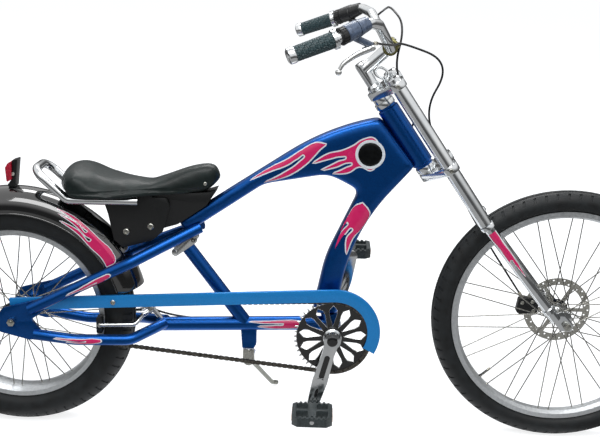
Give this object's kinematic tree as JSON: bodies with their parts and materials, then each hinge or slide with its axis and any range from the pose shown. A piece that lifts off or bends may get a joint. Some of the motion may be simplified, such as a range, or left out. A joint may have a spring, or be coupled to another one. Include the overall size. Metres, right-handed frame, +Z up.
{
  "type": "chopper bicycle",
  "caption": "Long low chopper pedal bicycle with fat rear tyre, twin-crown fork and mudguard, parked leaning on its side stand.",
  "frame": {"origin": "on the floor under the middle of the bicycle's bounding box", "axes": "+X forward along the wheelbase, +Y to the rider's left, +Z up"},
  "size_m": [1.9006, 0.6276, 1.0359],
  "materials": {
    "blue_paint": "deep metallic blue gloss paint",
    "black_paint": "black gloss paint",
    "black_steel": "black enamel",
    "chrome": "bright chrome plate",
    "bright_alloy": "polished",
    "zinc_steel": "bright zinc plate",
    "spoke_steel": "bright drawn wire",
    "disc_steel": "ground",
    "dark_steel": "oiled dark steel",
    "rim_alloy": "satin silver",
    "tyre_rubber": "moulded black rubber",
    "grip_rubber": "dark grey-green rubber",
    "black_vinyl": "black vinyl with a soft sheen",
    "pedal_plastic": "moulded resin",
    "red_lens": "prismatic red",
    "cable_sheath": "extruded black sheath"
  },
  "bodies": {
    "frame": {"frame_body": "blue_paint", "head_tube": "blue_paint", "lower_tube": "blue_paint", "upper_stay_right": "blue_paint", "upper_stay_left": "blue_paint", "lower_stay_right": "blue_paint", "lower_stay_left": "blue_paint", "seat_strut": "blue_paint", "strut_clamp": "bright_alloy", "chain_guard": "blue_paint", "stand_bracket": "blue_paint", "headset": "chrome", "rear_axle": "zinc_steel", "chain": "dark_steel", "rear_sprocket": "dark_steel", "rear_fender": "black_paint", "reflector_bracket": "black_steel", "reflector": "red_lens", "seat": "black_vinyl", "seat_bracket": "black_steel", "grab_hoop": "chrome", "rear_brake": "bright_alloy", "brake_pads": "black_steel", "frame_cable": "cable_sheath"},
    "fork": {"steerer": "chrome", "fork_crowns": "chrome", "stanchions": "chrome", "fork_legs": "chrome", "front_axle": "zinc_steel", "stem": "chrome", "handlebar": "chrome", "grips": "grip_rubber", "grip_collars": "chrome", "lever_clamps": "black_steel", "brake_levers": "bright_alloy", "front_caliper": "black_steel", "front_cable": "cable_sheath", "bars_cable": "cable_sheath"},
    "front_wheel": {"front_tyre": "tyre_rubber", "front_rim": "rim_alloy", "front_hub": "chrome", "front_spokes": "spoke_steel", "brake_disc": "disc_steel"},
    "rear_wheel": {"rear_tyre": "tyre_rubber", "rear_rim": "rim_alloy", "rear_hub": "chrome", "rear_spokes": "spoke_steel"},
    "crankset": {"chainring": "black_steel", "cranks": "chrome"},
    "pedal_right": {"pedal_right": "pedal_plastic"},
    "pedal_left": {"pedal_left": "pedal_plastic"},
    "side_stand": {"stand_leg": "zinc_steel"}
  },
  "joints": [
    {"name": "steering", "type": "hinge", "parent": "frame", "child": "fork", "pos_m": [0.2515, -0.02871, 0.72824], "axis": [-0.5693, 0.1144, 0.8141], "range_deg": [-45, 45]},
    {"name": "front_wheel_spin", "type": "hinge", "parent": "fork", "child": "front_wheel", "pos_m": [0.6425, -0.08814, 0.30539], "axis": [0, 0.9903, -0.1392], "continuous": true},
    {"name": "rear_wheel_spin", "type": "hinge", "parent": "frame", "child": "rear_wheel", "pos_m": [-0.657, -0.09203, 0.27766], "axis": [0, 0.9903, -0.1392], "continuous": true},
    {"name": "crank_spin", "type": "hinge", "parent": "frame", "child": "crankset", "pos_m": [0.099, -0.09537, 0.2539], "axis": [0, 0.9903, -0.1392], "continuous": true},
    {"name": "pedal_right_spin", "type": "hinge", "parent": "crankset", "child": "pedal_right", "pos_m": [0.05643, -0.24701, 0.10901], "axis": [0, 0.9903, -0.1392], "continuous": true},
    {"name": "pedal_left_spin", "type": "hinge", "parent": "crankset", "child": "pedal_left", "pos_m": [0.14156, 0.05627, 0.39879], "axis": [0, 0.9903, -0.1392], "continuous": true},
    {"name": "stand_swing", "type": "hinge", "parent": "frame", "child": "side_stand", "pos_m": [-0.1, -0.10706, 0.17072], "axis": [0.1767, 0.7048, 0.6871], "range_deg": [0, 94.5]}
  ]
}
